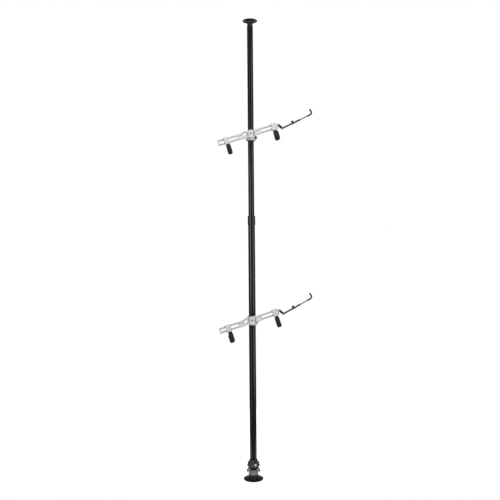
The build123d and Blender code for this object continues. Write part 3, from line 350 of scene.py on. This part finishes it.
# %% Moulded nylon
def moulded_nylon():
    nylon = Finish("moulded_nylon", colour=(0.02, 0.02, 0.021), roughness=0.48)
    drift = nylon.noise(size=0.015, detail=4)
    cells_a_metre = 1400.0
    inputs = {"Vector": nylon.place(), "Scale": cells_a_metre}
    craters = nylon.add("TexVoronoi", {}, inputs, "Distance")
    dark, pale = (0.014, 0.014, 0.015), (0.03, 0.03, 0.031)
    nylon.feed("Base Color", nylon.shade(drift, dark, pale))
    nylon.feed("Roughness", 0.40 + drift * 0.18)
    nylon.bump(craters, distance=0.00008, strength=0.5)
    return nylon.material


nylon = moulded_nylon()
cover(nylon, "guide_bush", "height_knob", "slide_shoe", "liner")
cover(nylon, "bushes", "lock_knob", "stabiliser_knob")

# %% [markdown]
# The treadle is a harder, shinier plastic, dark green-grey, with a fine leathery grain from its
# mould. Soles dull it in soft patches, which lift both the colour and the roughness. A thin clear
# coat over the grain gives the wet look of new plastic.

# %% Treadle plastic
def treadle_plastic():
    plastic = Finish("treadle_plastic", colour=(0.03, 0.038, 0.038), roughness=0.3)
    plastic.fix("Coat Weight", 0.3)
    plastic.fix("Coat Roughness", 0.15)
    patches = plastic.ramp(plastic.noise(size=0.014, detail=4), low=0.45, high=0.7)
    clean, scuffed = (0.024, 0.031, 0.031), (0.046, 0.056, 0.055)
    plastic.feed("Base Color", plastic.shade(patches, clean, scuffed))
    plastic.feed("Roughness", 0.26 + patches * 0.16)
    plastic.bump(plastic.noise(size=0.0011, detail=2), distance=0.00008, strength=0.4)
    return plastic.material


cover(treadle_plastic(), "treadle")

# %% [markdown]
# The foot's cup is turned from cast aluminium. The lathe leaves rings round it, and an
# anisotropic shader could fake their sheen, but noise squeezed flat makes the rings themselves:
# it hardly changes round the cup, and changes fast with the height.

# %% Turned cup
def turned_cup():
    cup = Finish("turned_cup", colour=(0.22, 0.225, 0.235), roughness=0.40, metallic=0.4)
    same_all_round = cup.stretched((0.02, 0.02, 1))
    rings = cup.noise(size=0.002, detail=3, where=same_all_round)
    clouds = cup.noise(size=0.02, detail=4)
    dull, bright = (0.18, 0.185, 0.195), (0.26, 0.265, 0.275)
    cup.feed("Base Color", cup.shade(clouds, dull, bright))
    cup.feed("Roughness", 0.32 + rings * 0.14 + clouds * 0.06)
    cup.bump(rings, distance=0.00006, strength=0.4)
    return cup.material


cover(turned_cup(), "foot_socket")

# %% [markdown]
# Every node keeps its mesh and gets one of the finishes. A table of all the nodes would say most
# things twice, because the two mounts hold the same pieces. The last words of a node's name are
# enough, and where two entries fit, the longer one counts.

# %% Dress the nodes
def finish_of(node_name):
    """The finish of a node, from the longest entry that its name ends with."""
    endings = [ending for ending in finishes if node_name.endswith(ending)]
    return finishes[max(endings, key=len)]


def dress(piece, material):
    """Give an object one material in every slot."""
    if not piece.data.materials:
        piece.data.materials.append(material)
    for slot in piece.material_slots:
        slot.material = material


for node_name, node in nodes.items():
    dress(node, finish_of(node_name))
print(len(nodes), "nodes dressed")

# %% [markdown]
# The finest pieces are made here from points. Most are a stack of closed rings, skinned from one
# to the next and shut at both ends, so one helper builds them all. Its faces are smooth, and an
# edge that bends by more than 35 degrees stays crisp.

# %% Rings to a closed form
crisp_edge = radians(35)


def new_piece(name, mesh):
    """An object for a finished mesh, added to the scene."""
    piece = bpy.data.objects.new(name, mesh)
    scene.collection.objects.link(piece)
    return piece


def closed_form(name, rings):
    """A closed mesh skinned over rings, which all have the same number of points."""
    build = bmesh.new()
    made = [[build.verts.new(point) for point in ring] for ring in rings]
    for first, second in zip(made, made[1:]):
        for here in range(len(first)):
            following = (here + 1) % len(first)
            build.faces.new((first[here], first[following], second[following], second[here]))
    build.faces.new(made[0][::-1])
    build.faces.new(made[-1])
    bmesh.ops.recalc_face_normals(build, faces=build.faces)
    mesh = bpy.data.meshes.new(name)
    build.to_mesh(mesh)
    build.free()
    mesh.shade_smooth()
    mesh.set_sharp_from_angle(angle=crisp_edge)
    return new_piece(name, mesh)


print("ring helper ready")

# %% [markdown]
# The ceiling spring is a plain sleeve in the model, because physics only needs its weight.
# Here it is wound as a real coil with closed ends. A screw modifier would give it open ends, so
# it is a path with a round section. It hides in the tube.

# %% Ceiling spring
def coil(name, bottom, top, radius, wire_radius, turns, steps_per_turn=24):
    """A compression spring wound round the pole's axis, its first and last turn closed."""
    curve = bpy.data.curves.new(name, "CURVE")
    curve.dimensions = "3D"
    curve.bevel_depth = wire_radius
    curve.bevel_resolution = 3
    steps = turns * steps_per_turn
    spline = curve.splines.new("POLY")
    spline.points.add(steps)
    wire = 2 * wire_radius
    low = bottom + wire_radius
    free = top - bottom - wire
    closed = 1.0 / turns
    for step in range(steps + 1):
        share = step / steps
        angle = 2 * pi * turns * share
        rise = min(max((share - closed) / (1 - 2 * closed), 0), 1)
        height = low + wire * (min(share, closed) + max(share - 1 + closed, 0)) / closed
        height += rise * (free - 2 * wire)
        spline.points[step].co = (radius * cos(angle), radius * sin(angle), height, 1)
    line = bpy.data.objects.new(name, curve)
    mesh = bpy.data.meshes.new_from_object(line)
    bpy.data.objects.remove(line)
    mesh.shade_smooth()
    return new_piece(name, mesh)


coil_radius = 0.0132
coil_wire_radius = 0.0021
coil_turns = 15

spring_low, spring_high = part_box("ceiling_spring")
bottom, top = spring_low[2], spring_high[2]
spring = coil("ceiling_spring_coil", bottom, top, coil_radius, coil_wire_radius, coil_turns)
dress(spring, zinc)
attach(spring, "upper_pole")
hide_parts("ceiling_spring")
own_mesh(spring)

# %% [markdown]
# A treadle's front is moulded with a slight dome, so that a sole finds its middle. The model
# has it flat. Sculpting would lose the outline, so this is read from the node's flat back, evened
# out and softened. A corner between two points is cut by averaging each point with its neighbours.

# %% Outline of the treadle
def back_outline(node, spacing, passes):
    """The closed outline of a node's back face, as evenly spaced (x, z) points."""
    flatness = 0.00001
    back = max(vertex.co.y for vertex in node.data.vertices)
    flat = {(v.co.x, v.co.z) for v in node.data.vertices if v.co.y > back - flatness}
    middle_x = sum(x for x, z in flat) / len(flat)
    middle_z = sum(z for x, z in flat) / len(flat)
    corners = sorted(flat, key=lambda corner: atan2(corner[1] - middle_z, corner[0] - middle_x))
    points = []
    for (x, z), (next_x, next_z) in zip(corners, corners[1:] + corners[:1]):
        count = max(1, round(hypot(next_x - x, next_z - z) / spacing))
        for step in range(count):
            share = step / count
            points.append((x + (next_x - x) * share, z + (next_z - z) * share))
    for _ in range(passes):
        before = points[-1:] + points[:-1]
        after = points[1:] + points[:1]
        points = [
            ((left[0] + 2 * here[0] + right[0]) / 4, (left[1] + 2 * here[1] + right[1]) / 4)
            for left, here, right in zip(before, points, after)
        ]
    return points


treadle_outline = back_outline(nodes["treadle"], spacing=0.0012, passes=6)
print("treadle with", len(treadle_outline), "points round its outline")

# %% [markdown]
# The plate is then drawn in towards the middle ring by ring: a quarter circle round the edge
# first, and a shallow parabola up to the crown.

# %% Treadle
def domed_plate(name, outline, back, front, edge, crown, steps=8):
    """A plate of this outline with a rounded edge and a domed front, facing -Y."""
    middle_x = (min(x for x, z in outline) + max(x for x, z in outline)) / 2
    middle_z = (min(z for x, z in outline) + max(z for x, z in outline)) / 2
    rounded = 0.1
    levels = [(1.0, back)]
    for step in range(steps + 1):
        turn = radians(90) * step / steps
        level = front + crown + (edge - crown) * (1 - sin(turn))
        levels.append((1 - rounded * (1 - cos(turn)), level))
    for step in range(1, steps):
        share = (1 - rounded) * (1 - step / steps)
        levels.append((share, front + crown * (share / (1 - rounded)) ** 2))
    rings = [
        [
            (middle_x + (x - middle_x) * share, level, middle_z + (z - middle_z) * share)
            for x, z in outline
        ]
        for share, level in levels
    ]
    return closed_form(name, rings)


treadle_low, treadle_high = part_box("treadle")
treadle_back, treadle_front = treadle_high[1], treadle_low[1]
treadle_plate = domed_plate(
    "treadle_plate", treadle_outline, treadle_back, treadle_front, edge=0.005, crown=0.0016
)
dress(treadle_plate, finishes["treadle"])
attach(treadle_plate, "pedal")
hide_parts("treadle")
print("treadle plate", round(treadle_back - treadle_front, 4), "m thick")

# %% [markdown]
# One bright screw holds the treadle to its arm, right of the middle. It is small, but the only
# bright spot there, so a flat disc would show. It is turned from a profile: a flat rim, a domed
# crown and a small hollow in the middle for the tool.

# %% Treadle screw
def turned(name, profile, origin, axis, segments=48):
    """A mesh of revolution: the profile is (radius, distance along the axis)."""
    turn = Vector((0, 0, 1)).rotation_difference(Vector(axis)).to_matrix()
    rings = []
    for radius, along in profile:
        ring = []
        for step in range(segments):
            angle = 2 * pi * step / segments
            point = Vector((radius * cos(angle), radius * sin(angle), along))
            ring.append(turn @ point + Vector(origin))
        rings.append(ring)
    return closed_form(name, rings)


screw_profile = [
    (0.0066, -0.0010),
    (0.0070, -0.0002),
    (0.0070, 0.0006),
    (0.0066, 0.0012),
    (0.0054, 0.0021),
    (0.0038, 0.0027),
    (0.0026, 0.0029),
    (0.0022, 0.0028),
    (0.0018, 0.0016),
    (0.0002, 0.0014),
]
screw_x = 0.0125
screw_z = 0.1055
screw = turned("treadle_screw", screw_profile, (screw_x, treadle_front, screw_z), (0, -1, 0))
dress(screw, zinc)
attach(screw, "pedal")
print("treadle screw at", screw_x, screw_z)

# %% [markdown]
# The pole stands on a white floor in front of a white background. The floor is lit like any
# other surface and takes the object's shadow. What the camera or a reflection sees of it also
# gets some white by Light Path, which adds no light to the object. The sheet is small: a wide
# one would mirror in the tubes near the floor and turn them grey. Away from the pole it gets
# whiter, so that its edge melts into the background.

# %% Studio floor
def floor_sheet(name, width, front, back):
    """A flat sheet on the floor, just large enough to hold the pole's shadow."""
    half = width / 2
    corners = [(-half, front, 0), (half, front, 0), (half, back, 0), (-half, back, 0)]
    mesh = bpy.data.meshes.new(name)
    mesh.from_pydata(corners, [], [(0, 1, 2, 3)])
    sheet = new_piece(name, mesh)
    return sheet


def studio_white():
    """A pale diffuse sheet that adds white where the camera or a reflection sees it."""
    white = Finish("studio_white", colour=(0.86, 0.86, 0.86), roughness=0.9)
    seen = white.add("LightPath", output="Is Camera Ray")
    mirrored = white.add("LightPath", output="Is Glossy Ray")
    through = white.add("LightPath", output="Is Transmission Ray")
    away = white.add("VectorMath", {"operation": "LENGTH"}, {0: white.place()}, "Value")
    glow_at_pole = 0.56
    more_at_edge = 0.46
    glow_in_mirrors = 0.12
    level = glow_at_pole + white.ramp(away, low=0.3, high=2.5) * more_at_edge
    glow = seen * level + mirrored * glow_in_mirrors + through * level
    black, brightest = (0, 0, 0), (1, 1, 1)
    duller, cleaner = (0.85, 0.85, 0.85), (0.87, 0.87, 0.87)
    white.feed("Base Color", white.shade(white.noise(size=0.8, detail=2), duller, cleaner))
    white.feed("Emission Color", white.shade(glow, black, brightest))
    white.fix("Emission Strength", 1.0)
    return white.material


studio = floor_sheet("studio_floor", width=1.5, front=-0.36, back=1.6)
dress(studio, studio_white())
print("studio floor laid")

# %% [markdown]
# The world is the rest of the studio: plain white to the camera, and one even fill for diffuse
# surfaces. If reflections saw that white too, black paint would turn grey all over. They see a
# dark studio instead, which turns white only within about twenty degrees of straight behind, so
# that just the tubes' outer edges catch it. The change runs with the direction's Y, so it belongs
# to the studio and not to the camera.

# %% Studio air
def studio_air(fill, dark_front, bright_back, edge, full):
    """A world whose reflections go from dark to bright between two values of direction Y."""
    air = bpy.data.worlds.new("studio_air")
    air.use_nodes = True
    sky = Graph(air.node_tree)
    direction = sky.add("TexCoord", output="Generated")
    behind = sky.add("SeparateXYZ", {}, {"Vector": direction}, "Y")
    span = {"From Min": edge, "From Max": full, "To Min": dark_front, "To Max": bright_back}
    gradient = sky.add("MapRange", {"interpolation_type": "SMOOTHSTEP"}, {"Value": behind, **span})
    glossy = sky.add("LightPath", output="Is Glossy Ray")
    through = sky.add("LightPath", output="Is Transmission Ray")
    mirrored = sky.add("Math", {"operation": "MAXIMUM"}, {0: glossy, 1: through})
    level = sky.add("Mix", {}, {"Factor": mirrored, "A": fill, "B": gradient})
    camera_ray = sky.add("LightPath", output="Is Camera Ray")
    seen = sky.add("Mix", {}, {"Factor": camera_ray, "A": level, "B": 1.0})
    sky.link(seen, air.node_tree.nodes["Background"].inputs["Color"])
    return air


scene.world = studio_air(fill=0.38, dark_front=0.07, bright_back=1.0, edge=0.93, full=0.995)
scene.view_settings.view_transform = "Standard"
print("world set")

# %% [markdown]
# Four soft lights stand between the camera and the pole, to both sides and above. A tall one at
# the left draws the streak down the black tubes, and a shorter one beside it makes the streak
# brighter at mid height. A wide one at the right makes their grey side, and a large one above
# opens up the silver castings. Narrower lamps would draw sharper streaks, but those break up
# into dots on such thin tubes.

# %% Lights
def soft_light(name, place, target, width, height, watts):
    """A rectangular area light that faces a point."""
    data = bpy.data.lights.new(name, "AREA")
    data.shape = "RECTANGLE"
    data.size = width
    data.size_y = height
    data.energy = watts
    lamp = bpy.data.objects.new(name, data)
    lamp.location = place
    aim = Vector(target) - Vector(place)
    lamp.rotation_euler = aim.to_track_quat("-Z", "Y").to_euler()
    scene.collection.objects.link(lamp)


middle = (0, 0, 1.5)
soft_light("left_strip", (-2.2, -2.6, 1.6), middle, width=1.1, height=4.4, watts=20)
soft_light("left_window", (-2.1, -2.3, 1.56), (0, 0, 1.56), width=0.8, height=1.5, watts=20)
soft_light("right_panel", (3.0, -2.2, 1.7), middle, width=2.0, height=4.2, watts=60)
soft_light("overhead", (0.2, -1.6, 4.8), (0, 0, 1.2), width=3.0, height=2.2, watts=60)
print(len(bpy.data.lights), "lights set")
